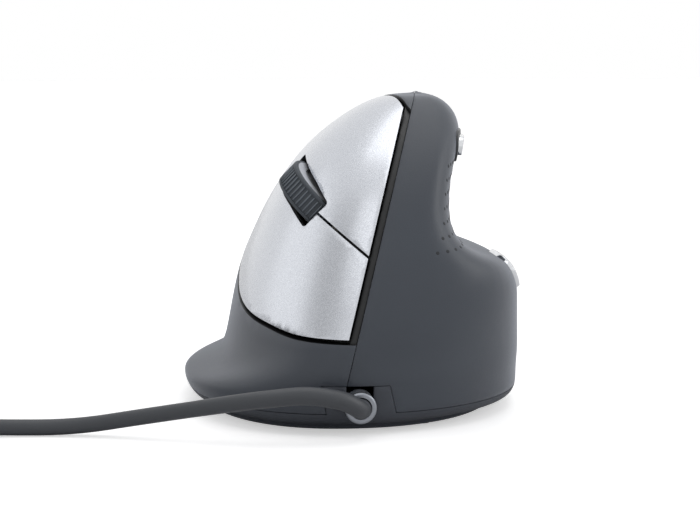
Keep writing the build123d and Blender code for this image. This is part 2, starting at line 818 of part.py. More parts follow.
with BuildPart() as guide_pins:
    with BuildSketch(finger_level(finger_board_bottom)):
        with Locations(*guide_places):
            Circle(guide_radius)
    extrude(amount=guide_top - finger_board_bottom)
save(guide_pins, "guide_pins")


def micro_switch(side):
    """A snap switch with its plunger, standing on the finger board."""
    with BuildPart() as switch:
        with BuildSketch(finger_level(finger_board_top)):
            with Locations((switch_x - plunger_radius, side * switch_y)):
                Rectangle(switch_length, switch_width)
        extrude(amount=switch_height)
        with BuildSketch(finger_level(finger_board_top + switch_height)):
            with Locations((switch_x, side * switch_y)):
                Circle(plunger_radius)
        extrude(amount=plunger_height)
    return switch.part


with BuildPart() as index_switch:
    add(micro_switch(1))
save(index_switch, "index_switch")

with BuildPart() as middle_switch:
    add(micro_switch(-1))
save(middle_switch, "middle_switch")

click_height = carriage_low - click_gap - finger_board_top
with BuildPart() as click_switch:
    with BuildSketch(finger_level(finger_board_top)):
        with Locations((-guide_x, click_y)):
            Rectangle(click_size, click_size)
    extrude(amount=click_height - plunger_height)
    with BuildSketch(finger_level(finger_board_top)):
        with Locations((-guide_x, click_y)):
            Circle(plunger_radius)
    extrude(amount=click_height)
save(click_switch, "click_switch")


def screw_set(planes, head_radius, head_height, shank_radius, shank_length):
    """Identical pan head screws, each with its head outside its plane."""
    with BuildPart() as screws:
        for plane in planes:
            with BuildSketch(plane.offset(-head_height)):
                Circle(head_radius)
            extrude(amount=head_height)
            with BuildSketch(plane):
                Circle(shank_radius)
            extrude(amount=shank_length)
    return screws.part


with BuildPart() as finger_board_screws:
    planes = [
        Plane(origin=finger_point(x, y, finger_board_bottom), z_dir=finger_plane.z_dir)
        for x, y in board_post_places
    ]
    add(screw_set(planes, board_head_radius, board_head_height, board_screw_radius, board_screw_length))
save(finger_board_screws, "finger_board_screws")

# Thumb buttons, their trim, board and switches
thumb_button_outline = body_solid(-thumb_button_proud)
thumb_button_back = body_solid(thumb_button_depth)
trim_front = body_solid(-trim_proud)
trim_back = body_solid(trim_depth)
stem_start = thumb_board_x + board_thickness + thumb_switch_height + plunger_height + click_gap


def thumb_button_space(place, grow):
    """The prism of one thumb button, grown by a gap."""
    with BuildPart() as space:
        with BuildSketch(thumb_plane):
            with Locations(place):
                SlotOverall(thumb_button_length + 2 * grow, thumb_button_height + 2 * grow)
        extrude(amount=overrun)
    return space.part


def thumb_button(place):
    """One thumb button with the stem that reaches its switch."""
    with BuildPart() as stem:
        with BuildSketch(Plane.YZ.offset(stem_start)):
            with Locations((thumb_y + place[0], thumb_z + place[1])):
                Circle(stem_radius)
        extrude(amount=overrun)
        add(panel_back, mode=Mode.INTERSECT)
    with BuildPart() as button:
        add(thumb_button_outline)
        add(thumb_button_space(place, 0), mode=Mode.INTERSECT)
        add(thumb_button_back, mode=Mode.SUBTRACT)
        add(stem.part)
    return button.part


with BuildPart() as forward_button:
    add(thumb_button(thumb_button_places[0]))
save(forward_button, "forward_button")

with BuildPart() as back_button:
    add(thumb_button(thumb_button_places[1]))
save(back_button, "back_button")

with BuildPart() as thumb_trim:
    add(trim_front)
    add(trim_space.part, mode=Mode.INTERSECT)
    add(trim_back, mode=Mode.SUBTRACT)
    for place in thumb_button_places:
        add(thumb_button_space(place, thumb_button_gap), mode=Mode.SUBTRACT)
save(thumb_trim, "thumb_trim")

with BuildPart() as thumb_board:
    with BuildSketch(Plane.YZ.offset(thumb_board_x)):
        with Locations((thumb_y, thumb_board_z)):
            RectangleRounded(thumb_board_length, thumb_board_height, slot_corner_radius)
        with Locations(*thumb_post_places):
            Circle(board_screw_radius, mode=Mode.SUBTRACT)
    extrude(amount=board_thickness)
save(thumb_board, "thumb_board")


def thumb_switch(place):
    """A tactile switch on the thumb board."""
    centre = (thumb_y + place[0], thumb_z + place[1])
    with BuildPart() as switch:
        with BuildSketch(Plane.YZ.offset(thumb_board_x + board_thickness)):
            with Locations(centre):
                Rectangle(thumb_switch_size, thumb_switch_size)
        extrude(amount=thumb_switch_height)
        with BuildSketch(Plane.YZ.offset(thumb_board_x + board_thickness)):
            with Locations(centre):
                Circle(stem_radius)
        extrude(amount=thumb_switch_height + plunger_height)
    return switch.part


with BuildPart() as forward_switch:
    add(thumb_switch(thumb_button_places[0]))
save(forward_switch, "forward_switch")

with BuildPart() as back_switch:
    add(thumb_switch(thumb_button_places[1]))
save(back_switch, "back_switch")

with BuildPart() as thumb_board_screws:
    planes = [Plane(origin=(thumb_board_x, y, z), z_dir=(1, 0, 0)) for y, z in thumb_post_places]
    add(screw_set(planes, board_head_radius, board_head_height, board_screw_radius, board_screw_length))
save(thumb_board_screws, "thumb_board_screws")

# Bare chrome plate on the palm edge
with BuildPart() as palm_plate:
    add(body_solid(-plate_proud))
    add(plate_space.part, mode=Mode.INTERSECT)
    add(body_solid(plate_seat), mode=Mode.SUBTRACT)
save(palm_plate, "palm_plate")

# Case screws, from below through the base's posts into the shells' bosses
with BuildPart() as case_screws:
    head_top = glide_height + case_head_height
    planes = [Plane(origin=(x, y, head_top), z_dir=(0, 0, 1)) for x, y in case_screw_places]
    add(screw_set(planes, case_head_radius, case_head_height, case_screw_radius, case_screw_length))
save(case_screws, "case_screws")

# Main board with its sensor, lens, chip, capacitor and cord header
board_top = main_board_bottom + board_thickness
with BuildPart() as main_board:
    with BuildSketch(Plane.XY.offset(main_board_bottom)):
        with Locations(main_board_centre):
            RectangleRounded(main_board_width, main_board_length, slot_corner_radius)
        with Locations(*board_corners):
            Circle(board_screw_radius, mode=Mode.SUBTRACT)
    extrude(amount=board_thickness)
save(main_board, "main_board")

with BuildPart() as main_board_screws:
    planes = [Plane(origin=(x, y, board_top), x_dir=(1, 0, 0), z_dir=(0, 0, -1)) for x, y in board_corners]
    add(screw_set(planes, board_head_radius, board_head_height, board_screw_radius, board_screw_length))
save(main_board_screws, "main_board_screws")

with BuildPart() as optical_sensor:
    with BuildSketch(Plane.XY.offset(board_top)):
        with Locations(sensor_place):
            Rectangle(sensor_width, sensor_length)
    extrude(amount=sensor_height)
    chamfer(optical_sensor.faces().sort_by(Axis.Z)[-1].edges(), tyre_edge)
save(optical_sensor, "optical_sensor")

with BuildPart() as sensor_lens:
    with BuildSketch(Plane.XY.offset(main_board_bottom - lens_plate)):
        with Locations(sensor_place):
            RectangleRounded(lens_width, lens_length, slot_corner_radius)
    extrude(amount=lens_plate)
    with BuildSketch(Plane.XY.offset(lens_bottom)):
        with Locations(sensor_place):
            Circle(lens_barrel_radius)
    extrude(amount=main_board_bottom - lens_bottom)
save(sensor_lens, "sensor_lens")

with BuildPart() as board_chip:
    with BuildSketch(Plane.XY.offset(board_top)):
        with Locations(chip_place):
            Rectangle(chip_size, chip_size)
    extrude(amount=chip_height)
save(board_chip, "board_chip")

with BuildPart() as board_capacitor:
    with BuildSketch(Plane.XY.offset(board_top)):
        with Locations(capacitor_place):
            Circle(capacitor_radius)
    extrude(amount=capacitor_height)
    fillet(board_capacitor.edges().sort_by(Axis.Z)[-1], tyre_edge)
save(board_capacitor, "board_capacitor")

with BuildPart() as cord_header:
    with BuildSketch(Plane.XY.offset(board_top)):
        with Locations((cord_exit_x, header_y)):
            Rectangle(header_width, header_depth)
    extrude(amount=header_height)
save(cord_header, "cord_header")

# Glides under the base
glide_places = {
    "glide_front": ((0, glide_front_y), glide_long, glide_wide),
    "glide_back": ((0, glide_back_y), glide_long, glide_wide),
    "glide_left": ((-glide_side_x, 0), glide_wide, glide_long / 2),
    "glide_right": ((glide_side_x, 0), glide_wide, glide_long / 2),
}
for name, (place, across, along) in glide_places.items():
    with BuildPart() as glide:
        with BuildSketch(Plane.XY):
            with Locations(place):
                RectangleRounded(across, along, slot_corner_radius)
        extrude(amount=glide_height)
    save(glide, name)

# Cord collar: a grommet gripping the notch in the base tab
with BuildPart() as cord_collar:
    with BuildSketch(collar_plane.offset(-collar_flange)):
        Circle(collar_radius)
    extrude(amount=collar_flange)
    fillet(cord_collar.faces().sort_by(Axis.Y)[0].edges(), collar_flange / 3)
    with BuildSketch(collar_plane.offset(-collar_depth)):
        Circle(notch_width / 2 - seam)
    extrude(amount=collar_depth - collar_flange)
    with BuildSketch(collar_plane.offset(-collar_depth)):
        Circle(collar_radius)
    extrude(amount=collar_flange)
    with BuildSketch(collar_plane.offset(collar_flange)):
        Circle(collar_bore)
    extrude(amount=-overrun, mode=Mode.SUBTRACT)
save(cord_collar, "cord_collar")

# Cord: boot, lead, coil, tail and the lead inside the housing


def route_radii(points):
    """The tangent radius at each inner point, as large as its two runs allow."""
    radii = []
    for before, corner, after in zip(points, points[1:], points[2:]):
        arriving = Vector(*corner) - Vector(*before)
        leaving = Vector(*after) - Vector(*corner)
        half_turn = math.radians(arriving.get_angle(leaving)) / 2
        radii.append(run_share * min(arriving.length, leaving.length) / math.tan(half_turn))
    return radii


def cord_tube(points, radii, radius):
    """A round tube along straight runs and tangent arcs."""
    with BuildPart() as tube:
        with BuildLine() as line:
            FilletPolyline(*points, radius=radii)
        path = line.wire()
        with BuildSketch(Plane(origin=path @ 0, z_dir=path % 0)):
            Circle(radius)
        sweep(path=path)
    expected = math.pi * radius**2 * path.length
    print("tube length", round(path.length, 1), "volume share", round(tube.part.volume / expected, 4))
    return tube.part


def share_point(start, end, share):
    return tuple(a + (b - a) * share for a, b in zip(start, end))


coil_low = cord_radius + tie_thickness + 2 * rest_gap
coil_entry = (coil_centre_x + 2 * cord_radius, coil_lead_y, coil_low)
lead_end = [(coil_entry[0] + 3 * coil_pitch, coil_lead_y, coil_low), coil_entry]
boot_end = share_point(boot_route[-1], lead_route[0], boot_end_share)
cord_route = boot_route + lead_route + lead_end
cord_radii = route_radii(cord_route)
print("cord radii", [round(radius, 1) for radius in cord_radii])

with BuildLine() as boot_line:
    FilletPolyline(*boot_route, boot_end, radius=cord_radii[: len(boot_route) - 1])
boot_path = boot_line.wire()
with BuildPart() as cord_boot:
    for ring in range(boot_rings + 1):
        share = ring / boot_rings
        with BuildSketch(Plane(origin=boot_path @ share, z_dir=boot_path % share)):
            Circle(boot_radius + (cord_radius - boot_radius) * share)
    loft()
save(cord_boot, "cord_boot")

with BuildPart() as cord_lead:
    add(cord_tube([boot_end] + cord_route[len(boot_route) :], cord_radii[len(boot_route) - 1 :], cord_radius))
save(cord_lead, "cord_lead")

with BuildPart() as inner_lead:
    add(cord_tube(inner_route, route_radii(inner_route), cord_radius))
save(inner_lead, "inner_lead")


def coil_arcs():
    """The coil's arcs as (start, middle, end), and where it ends."""
    centre_y = coil_lead_y + coil_start_radius
    y, z = coil_lead_y, coil_low
    side = -1
    inward = 1
    arcs = []
    for level in range(coil_layers):
        last = level == coil_layers - 1
        for _ in range(coil_half_turns + last):
            reach = abs(y - centre_y)
            next_y = centre_y - side * (reach - inward * coil_pitch / 2)
            middle = (coil_centre_x + side * abs(next_y - y) / 2, (y + next_y) / 2, z)
            arcs.append(((coil_centre_x, y, z), middle, (coil_centre_x, next_y, z)))
            y = next_y
            side = -side
        if not last:
            reach = abs(y - centre_y)
            radius = math.hypot(reach, coil_layer / 2)
            centre = Vector(coil_centre_x, centre_y, z + coil_layer / 2)
            across = Vector(side * radius, 0, 0)
            along = Vector(0, y - centre_y, -coil_layer / 2)
            top = centre + across
            diagonal = math.cos(math.pi / 4)
            arcs.append(((coil_centre_x, y, z), centre + (along + across) * diagonal, top))
            y, z = 2 * centre_y - y, z + coil_layer
            arcs.append((top, centre + (across - along) * diagonal, (coil_centre_x, y, z)))
            side = -side
            inward = -inward
    return arcs, y, z


arcs, coil_end_y, coil_high = coil_arcs()
coil_exit = (coil_centre_x - 2 * cord_radius, coil_end_y, coil_high)
with BuildPart() as cord_coil:
    with BuildLine() as coil_line:
        Line(coil_entry, arcs[0][0])
        for start, middle, end in arcs:
            ThreePointArc(start, middle, end)
        Line(arcs[-1][2], coil_exit)
    coil_path = coil_line.wire()
    with BuildSketch(Plane(origin=coil_path @ 0, z_dir=coil_path % 0)):
        Circle(cord_radius)
    sweep(path=coil_path)
save(cord_coil, "cord_coil")

# The coil's least gap to itself, measured on points half a diameter apart
coil_count = round(coil_path.length / cord_radius)
coil_marks = [coil_path @ (mark / coil_count) for mark in range(coil_count + 1)]
near_marks = 5
coil_gap = min(
    (one - other).length
    for index, one in enumerate(coil_marks)
    for other in coil_marks[index + near_marks :]
)
print("coil length", round(coil_path.length, 1), "least gap to itself", round(coil_gap - 2 * cord_radius, 2))

with BuildPart() as cord_tail:
    tail_points = [coil_exit, (coil_exit[0] - tail_lead, coil_end_y, coil_high)] + tail_route
    add(cord_tube(tail_points, route_radii(tail_points), cord_radius))
save(cord_tail, "cord_tail")
print("tail radii", [round(radius, 1) for radius in route_radii(tail_points)])

# Tie around the coil's turns
coil_centre_y = coil_lead_y + coil_start_radius
inner_reach = coil_start_radius - coil_half_turns * coil_pitch / 2
tie_sag = inner_reach - math.sqrt(inner_reach**2 - (tie_width / 2) ** 2)
tie_low_y = coil_centre_y + inner_reach - cord_radius - tie_sag - tie_clearance
tie_high_y = coil_centre_y + coil_start_radius + cord_radius + tie_clearance
tie_low_z = rest_gap + tie_thickness
tie_high_z = coil_high + cord_radius + tie_clearance
with BuildPart() as cord_tie:
    with BuildSketch(Plane.YZ.offset(coil_centre_x - tie_width / 2)):
        with Locations(((tie_low_y + tie_high_y) / 2, (tie_low_z + tie_high_z) / 2)):
            RectangleRounded(
                tie_high_y - tie_low_y + 2 * tie_thickness,
                tie_high_z - tie_low_z + 2 * tie_thickness,
                tie_corner,
            )
            Rectangle(tie_high_y - tie_low_y, tie_high_z - tie_low_z, mode=Mode.SUBTRACT)
    extrude(amount=tie_width)
save(cord_tie, "cord_tie")

# Plug: grip, metal shell and tongue
plug_plane = Plane(origin=(plug_x, plug_y, plug_z), x_dir=(0, 1, 0), z_dir=(-1, 0, 0))
with BuildPart() as plug_grip:
    with BuildSketch(plug_plane):
        RectangleRounded(plug_grip_width, plug_grip_height, plug_grip_corner)
    extrude(amount=plug_grip_length)
    with BuildSketch(plug_plane.offset(plug_grip_length)):
        RectangleRounded(plug_shell_width, plug_shell_height, plug_shell_corner)
    extrude(amount=-plug_shell_seat, mode=Mode.SUBTRACT)
save(plug_grip, "plug_grip")

with BuildPart() as plug_shell:
    with BuildSketch(plug_plane.offset(plug_grip_length - plug_shell_seat)):
        RectangleRounded(plug_shell_width, plug_shell_height, plug_shell_corner)
        Rectangle(
            plug_shell_width - 2 * plug_shell_wall,
            plug_shell_height - 2 * plug_shell_wall,
            mode=Mode.SUBTRACT,
        )
    extrude(amount=plug_shell_seat + plug_shell_length)
save(plug_shell, "plug_shell")

with BuildPart() as plug_tongue:
    with BuildSketch(plug_plane.offset(plug_grip_length - plug_shell_seat)):
        with Locations((0, (plug_shell_height - plug_tongue_height) / 2 - plug_shell_wall)):
            Rectangle(plug_shell_width - 2 * plug_shell_wall, plug_tongue_height)
    extrude(amount=plug_shell_seat + plug_shell_length - plug_tongue_recess)
save(plug_tongue, "plug_tongue")
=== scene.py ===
# %% [markdown]
# # A vertical mouse, dressed
# The frame is a set of plain solids in metres: shells, buttons, a wheel and a cord.
# This file gives each visible solid the surface that the real one has, and builds
# in mesh code what is too fine for the frame, such as the ribs of the tyre.

# %% Load the frame
import json
import math

import bmesh
import bpy
from mathutils import Matrix, Vector
from mathutils.bvhtree import BVHTree

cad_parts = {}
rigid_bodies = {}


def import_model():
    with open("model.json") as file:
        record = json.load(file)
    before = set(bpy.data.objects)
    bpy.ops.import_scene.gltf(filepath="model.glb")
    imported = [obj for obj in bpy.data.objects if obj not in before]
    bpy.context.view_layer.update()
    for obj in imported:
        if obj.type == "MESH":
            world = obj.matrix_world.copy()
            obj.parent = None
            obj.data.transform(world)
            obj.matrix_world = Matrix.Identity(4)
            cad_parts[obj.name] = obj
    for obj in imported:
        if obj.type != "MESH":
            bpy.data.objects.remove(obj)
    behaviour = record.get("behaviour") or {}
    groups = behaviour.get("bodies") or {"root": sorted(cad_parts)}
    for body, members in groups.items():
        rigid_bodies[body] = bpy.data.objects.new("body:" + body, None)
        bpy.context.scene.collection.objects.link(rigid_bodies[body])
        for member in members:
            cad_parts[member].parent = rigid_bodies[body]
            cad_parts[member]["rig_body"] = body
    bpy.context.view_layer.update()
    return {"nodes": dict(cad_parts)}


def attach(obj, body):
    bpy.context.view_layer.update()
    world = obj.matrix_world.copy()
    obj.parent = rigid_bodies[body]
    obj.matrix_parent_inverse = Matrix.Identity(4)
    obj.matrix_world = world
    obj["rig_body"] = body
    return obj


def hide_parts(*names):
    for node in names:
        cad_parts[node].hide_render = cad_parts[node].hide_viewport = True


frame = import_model()
nodes = frame["nodes"]
scene = bpy.context.scene

# %% [markdown]
# The camera stands about half a metre in front of the nose, seven degrees above
# the desk and seven degrees to the left. A long lens keeps the grip's tall
# outline straight, as in the photograph. A tracking constraint could aim it too,
# but two angles and a distance can be read and compared with a picture.

# %% Camera
azimuth = math.radians(-7.0)
elevation = math.radians(7.0)
distance = 0.480
aim = Vector((0.00125, -0.0004, 0.0336))
frame_width = 700
focal_px = 1872.0
sensor_mm = 36.0

back = Vector(
    (
        math.sin(azimuth) * math.cos(elevation),
        -math.cos(azimuth) * math.cos(elevation),
        math.sin(elevation),
    )
)
camera_data = bpy.data.cameras.new("camera")
camera_data.sensor_width = sensor_mm
camera_data.lens = focal_px * sensor_mm / frame_width
camera = bpy.data.objects.new("camera", camera_data)
scene.collection.objects.link(camera)
camera.location = aim + back * distance
camera.rotation_euler = back.to_track_quat("Z", "Y").to_euler()
scene.camera = camera
print("camera at", [round(value, 3) for value in camera.location])
print("lens:", round(camera_data.lens, 1), "mm")

# %% [markdown]
# A few small helpers serve every material: one turns an sRGB hex colour into the
# linear values that a shader wants, and one adds a node, sets its values and
# links its inputs. The next starts a material from a Principled shader. The last
# gives it the fine grain that every moulded or coated surface has.

# %% Material helpers


def linear(hex_code):
    """Linear RGBA from an sRGB hex colour."""
    channels = []
    for start in (1, 3, 5):
        value = int(hex_code[start : start + 2], 16) / 255
        channels.append(value / 12.92 if value <= 0.04045 else ((value + 0.055) / 1.055) ** 2.4)
    return (*channels, 1.0)


def add_node(tree, kind, settings=(), **links):
    """One node with its settings; a link is given as input_name=(node, output)."""
    node = tree.nodes.new(kind)
    for name, value in dict(settings).items():
        if hasattr(node, str(name)):
            setattr(node, name, value)
        else:
            node.inputs[name].default_value = value
    for name, (source, output) in links.items():
        tree.links.new(source.outputs[output], node.inputs[name.replace("_", " ")])
    return node


def start_material(name, colour, roughness, metallic=0.0, ior=1.5):
    """A material with a Principled shader; returns it, its tree and its shader."""
    material = bpy.data.materials.new(name)
    material.use_nodes = True
    tree = material.node_tree
    shader = tree.nodes["Principled BSDF"]
    shader.inputs["Base Color"].default_value = linear(colour)
    shader.inputs["Roughness"].default_value = roughness
    shader.inputs["Metallic"].default_value = metallic
    shader.inputs["IOR"].default_value = ior
    return material, tree, shader


def grain(tree, shader, size_mm, depth_mm, roughness_range, detail=3.0):
    """Moulded grain of one size: a bump and a small change of roughness."""
    place = add_node(tree, "ShaderNodeTexCoord")
    noise = add_node(
        tree,
        "ShaderNodeTexNoise",
        {"Scale": 1000.0 / size_mm, "Detail": detail, "Roughness": 0.6},
        Vector=(place, "Object"),
    )
    spread = add_node(
        tree,
        "ShaderNodeMapRange",
        {"To Min": roughness_range[0], "To Max": roughness_range[1]},
        Value=(noise, "Fac"),
    )
    bump = add_node(
        tree,
        "ShaderNodeBump",
        {"Strength": 1.0, "Distance": depth_mm / 1000.0},
        Height=(noise, "Fac"),
    )
    tree.links.new(spread.outputs["Result"], shader.inputs["Roughness"])
    tree.links.new(bump.outputs["Normal"], shader.inputs["Normal"])
    return place


# %% [markdown]
# The shells are ABS with a soft-touch rubber coat: dark and matt, with a faint
# bluish sheen where the surface turns away. A fine noise gives the coat's
# orange-peel grain; a slow one gives the uneven tone of handling. A picture could
# carry both, but noise needs no unwrapping and never repeats.

# %% Coated and moulded plastics
soft_touch, tree, shader = start_material("soft_touch_coated_abs", "#373B43", 0.5)
place = grain(tree, shader, 0.35, 0.02, (0.4, 0.54))
handling = add_node(
    tree,
    "ShaderNodeTexNoise",
    {"Scale": 1000.0 / 28.0, "Detail": 2.0},
    Vector=(place, "Object"),
)
tone = add_node(
    tree,
    "ShaderNodeMix",
    {"data_type": "RGBA"},
    Factor=(handling, "Fac"),
)
tone.inputs[6].default_value = linear("#353A43")
tone.inputs[7].default_value = linear("#3E444D")
tree.links.new(tone.outputs[2], shader.inputs["Base Color"])
shader.inputs["Sheen Weight"].default_value = 0.6
shader.inputs["Sheen Roughness"].default_value = 0.3
shader.inputs["Sheen Tint"].default_value = linear("#DDE2EE")

# The base is spark-grained, uncoated ABS: duller and rougher than the coat.
base_plastic, tree, shader = start_material("spark_grained_abs", "#393D45", 0.6)
grain(tree, shader, 0.5, 0.03, (0.5, 0.68))

# The frame under the panel is plain moulded ABS, near black; in the gaps round the panel its near
# black is also painted shade.
frame_and_gap_shade_plastic, tree, shader = start_material("near_black_abs_and_gap_shade", "#0C0E11", 0.5)
grain(tree, shader, 0.6, 0.01, (0.42, 0.58))

# The trim round the thumb buttons is moulded smooth, so it shines a little.
band_plastic, tree, shader = start_material("smooth_moulded_abs", "#1E2126", 0.36)
grain(tree, shader, 0.8, 0.008, (0.3, 0.42))
print("plastics:", soft_touch.name, base_plastic.name, frame_and_gap_shade_plastic.name, band_plastic.name)

# %% [markdown]
# The button panel is sprayed with a silver lacquer. Metal flakes a few hundredths
# of a millimetre wide lie in it; they are drawn coarser, at a fifth of a
# millimetre, so that their sparkle still shows from half a metre away.

# %% Silver lacquer
silver_lacquer, tree, shader = start_material("sprayed_silver_lacquer", "#D2D4D9", 0.26, 0.8)
place = add_node(tree, "ShaderNodeTexCoord")
flakes = add_node(
    tree,
    "ShaderNodeTexVoronoi",
    {"Scale": 1000.0 / 0.18, "Randomness": 1.0},
    Vector=(place, "Object"),
)
flake_tone = add_node(tree, "ShaderNodeSeparateColor", Color=(flakes, "Color"))
sparkle = add_node(
    tree,
    "ShaderNodeMapRange",
    {"To Min": 0.2, "To Max": 0.34},
    Value=(flake_tone, "Red"),
)
flake_colour = add_node(tree, "ShaderNodeMix", {"data_type": "RGBA"}, Factor=(flake_tone, "Green"))
flake_colour.inputs[6].default_value = linear("#C4C7CE")
flake_colour.inputs[7].default_value = linear("#D3D6DC")
flake_bump = add_node(
    tree,
    "ShaderNodeBump",
    {"Strength": 0.25, "Distance": 0.00002},
    Height=(flake_tone, "Blue"),
)
tree.links.new(sparkle.outputs["Result"], shader.inputs["Roughness"])
tree.links.new(flake_colour.outputs[2], shader.inputs["Base Color"])
tree.links.new(flake_bump.outputs["Normal"], shader.inputs["Normal"])
shader.inputs["Coat Weight"].default_value = 0.35
shader.inputs["Coat Roughness"].default_value = 0.2
print("lacquer:", silver_lacquer.name)

# %% [markdown]
# Three soft finishes: moulded rubber on the tyre, the same rubber on its ribs, painted a shade
# lighter as a painted highlight, and the extruded PVC of the cord. Noise in the roughness keeps
# them from looking like one even paint.

# %% Rubber and PVC
# The tyre's rubber is matt and swallows its highlights.
tyre_rubber, tree, shader = start_material("moulded_matt_rubber", "#3D434A", 0.62, 0.0, 1.52)
grain(tree, shader, 0.25, 0.012, (0.55, 0.72))

# The ribs' backs are smoother, and painted a shade lighter: a painted highlight.
rib_highlight_rubber, tree, shader = start_material("rib_rubber_painted_highlight", "#656C74", 0.46, 0.0, 1.52)
grain(tree, shader, 0.25, 0.008, (0.4, 0.54))

# Extruded PVC is smooth along the cord, with a soft line of light.
cord_pvc, tree, shader = start_material("extruded_soft_pvc", "#3A3D42", 0.42, 0.0, 1.53)
grain(tree, shader, 0.7, 0.012, (0.42, 0.56))
print("soft finishes:", tyre_rubber.name, rib_highlight_rubber.name, cord_pvc.name)

# %% [markdown]
# Metal is plated on the collar, the thumb keys and the palm plate, and plain on the
# rods and screws. A metal has no colour of its own under its mirror, so each one is
# told from the others by roughness and grain alone.

# %% Metals
# Zinc plating brushed dull, between grey plastic and steel.
collar_plating, tree, shader = start_material("brushed_zinc_plating", "#9599A0", 0.3, 0.75)
grain(tree, shader, 0.6, 0.01, (0.26, 0.36))

# Chrome on ABS mirrors sharply, over a slow waviness from the moulding.
chrome, tree, shader = start_material("polished_chrome_plating", "#D9DBDE", 0.08, 1.0)
grain(tree, shader, 6.0, 0.004, (0.05, 0.12), 1.0)

# Turned steel keeps fine tool marks, so its highlights are broad.
turned_steel, tree, shader = start_material("turned_steel", "#9A9CA0", 0.3, 1.0)
grain(tree, shader, 0.3, 0.006, (0.24, 0.38))

# The plug's tinned sheet is smoother and paler.
bright_steel, tree, shader = start_material("tinned_sheet_steel", "#B9BBBE", 0.24, 1.0)
grain(tree, shader, 1.2, 0.004, (0.18, 0.3))
print("metals:", collar_plating.name, chrome.name, turned_steel.name, bright_steel.name)

# %% [markdown]
# The hub and the pieces inside have the plain finishes of such parts. They are
# hardly seen, but an open or cut view of the mouse shows them.

# %% Finishes of the hub and the inside
# The hub's plastic carries aluminium pigment: satin, and a little metallic.
hub_plastic, tree, shader = start_material("satin_silver_plastic", "#C3C6CC", 0.35, 0.3)
grain(tree, shader, 0.4, 0.008, (0.3, 0.42))

# Solder mask is a thin even lacquer with a soft gloss.
solder_mask, tree, shader = start_material("black_solder_mask", "#121614", 0.35)
grain(tree, shader, 0.9, 0.01, (0.3, 0.42))

# Switch housings and the tie are moulded nylon, dull black.
black_plastic, tree, shader = start_material("black_moulded_nylon", "#1E1F21", 0.5)
grain(tree, shader, 0.5, 0.01, (0.44, 0.58))

# Sliding pieces are natural acetal: off-white and waxy.
acetal, tree, shader = start_material("natural_acetal", "#C9C7BE", 0.42)
grain(tree, shader, 0.8, 0.01, (0.36, 0.5))

# Glides are a fluoropolymer film, slick and low in its index.
glide_film, tree, shader = start_material("dark_fluoropolymer_film", "#34363A", 0.3, 0.0, 1.38)
grain(tree, shader, 1.5, 0.01, (0.26, 0.38))

# The sensor's lens is clear moulded acrylic.
lens_acrylic, tree, shader = start_material("clear_moulded_acrylic", "#E6EBEE", 0.08, 0.0, 1.49)
grain(tree, shader, 3.0, 0.003, (0.05, 0.12))
shader.inputs["Transmission Weight"].default_value = 0.8
print("inside:", hub_plastic.name, solder_mask.name, black_plastic.name, acetal.name)

# %% [markdown]
# One table says which finish each node has. A node's first slot is cleared before,
# so that the frame's plain colour is gone.

# %% Each node gets its finish
finishes = {
    soft_touch: ["thumb_shell", "finger_shell"],
    base_plastic: ["base_shell"],
    frame_and_gap_shade_plastic: ["button_frame"],
    silver_lacquer: ["index_button", "middle_button"],
    tyre_rubber: ["wheel_tyre"],
    hub_plastic: ["wheel_hub"],
    chrome: ["forward_button", "back_button", "palm_plate"],
    band_plastic: ["thumb_trim"],
    collar_plating: ["cord_collar"],
    cord_pvc: ["inner_lead", "cord_boot", "plug_grip"],
    bright_steel: ["plug_shell"],
    turned_steel: [
        "hinge_rod",
        "wheel_axle",
        "guide_pins",
        "finger_board_screws",
        "thumb_board_screws",
        "main_board_screws",
        "case_screws",
    ],
    solder_mask: ["finger_board", "thumb_board", "main_board"],
    black_plastic: [
        "index_switch",
        "middle_switch",
        "click_switch",
        "forward_switch",
        "back_switch",
        "wheel_encoder",
        "optical_sensor",
        "board_chip",
        "board_capacitor",
        "cord_tie",
    ],
    acetal: ["wheel_carriage", "cord_header", "plug_tongue"],
    glide_film: ["glide_front", "glide_back", "glide_left", "glide_right"],
    lens_acrylic: ["sensor_lens"],
}
for material, names in finishes.items():
    for name in names:
        nodes[name].data.materials.clear()
        nodes[name].data.materials.append(material)
print("finishes:", len(finishes), "for nodes:", sum(len(names) for names in finishes.values()))

# %% [markdown]
# A moulded shell has no knife edges. Each visible shell is copied, its loose
# triangles are merged, and a narrow bevel rounds its rims, so that the seams catch
# a thin line of light. Edges shorter than a few hundredths of a millimetre are
# dissolved first, because the bevel frays on such slivers. A fillet in the solid
# would do the same, but a modifier is quicker to tune against a picture.

# %% Rounded copies of the visible shells
merge_reach = 0.000004
sliver_reach = 0.00003
rim_angle = math.radians(38.0)
rim_segments = 2


def rounded_copy(name, radius_mm):
    """A merged copy of a node with a narrow round on its sharp edges."""
    source = nodes[name]
    mesh = source.data.copy()
    shell = bmesh.new()
    shell.from_mesh(mesh)
    bmesh.ops.remove_doubles(shell, verts=shell.verts, dist=merge_reach)
    bmesh.ops.dissolve_degenerate(shell, edges=shell.edges, dist=sliver_reach)
    shell.to_mesh(mesh)
    shell.free()
    mesh.shade_smooth()
    piece = bpy.data.objects.new(name + "_dressed", mesh)
    scene.collection.objects.link(piece)
    bevel = piece.modifiers.new("rim", "BEVEL")
    bevel.width = radius_mm / 1000.0
    bevel.segments = rim_segments
    bevel.limit_method = "ANGLE"
    bevel.angle_limit = rim_angle
    bevel.use_clamp_overlap = True
    bevel.harden_normals = True
    bevel.material = 0  # the coat, also beside a bare wall
    body = source["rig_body"]
    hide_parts(name)
    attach(piece, body)
    return piece


rims = {
    "thumb_shell": 0.14,
    "finger_shell": 0.14,
    "base_shell": 0.25,
    "index_button": 0.14,
    "middle_button": 0.14,
    "thumb_trim": 0.2,
    "forward_button": 0.3,
    "back_button": 0.3,
    "palm_plate": 0.12,
    "button_frame": 0.15,
}
dressed = {name: rounded_copy(name, radius) for name, radius in rims.items()}
print("rounded copies:", {name: len(piece.data.polygons) for name, piece in dressed.items()})
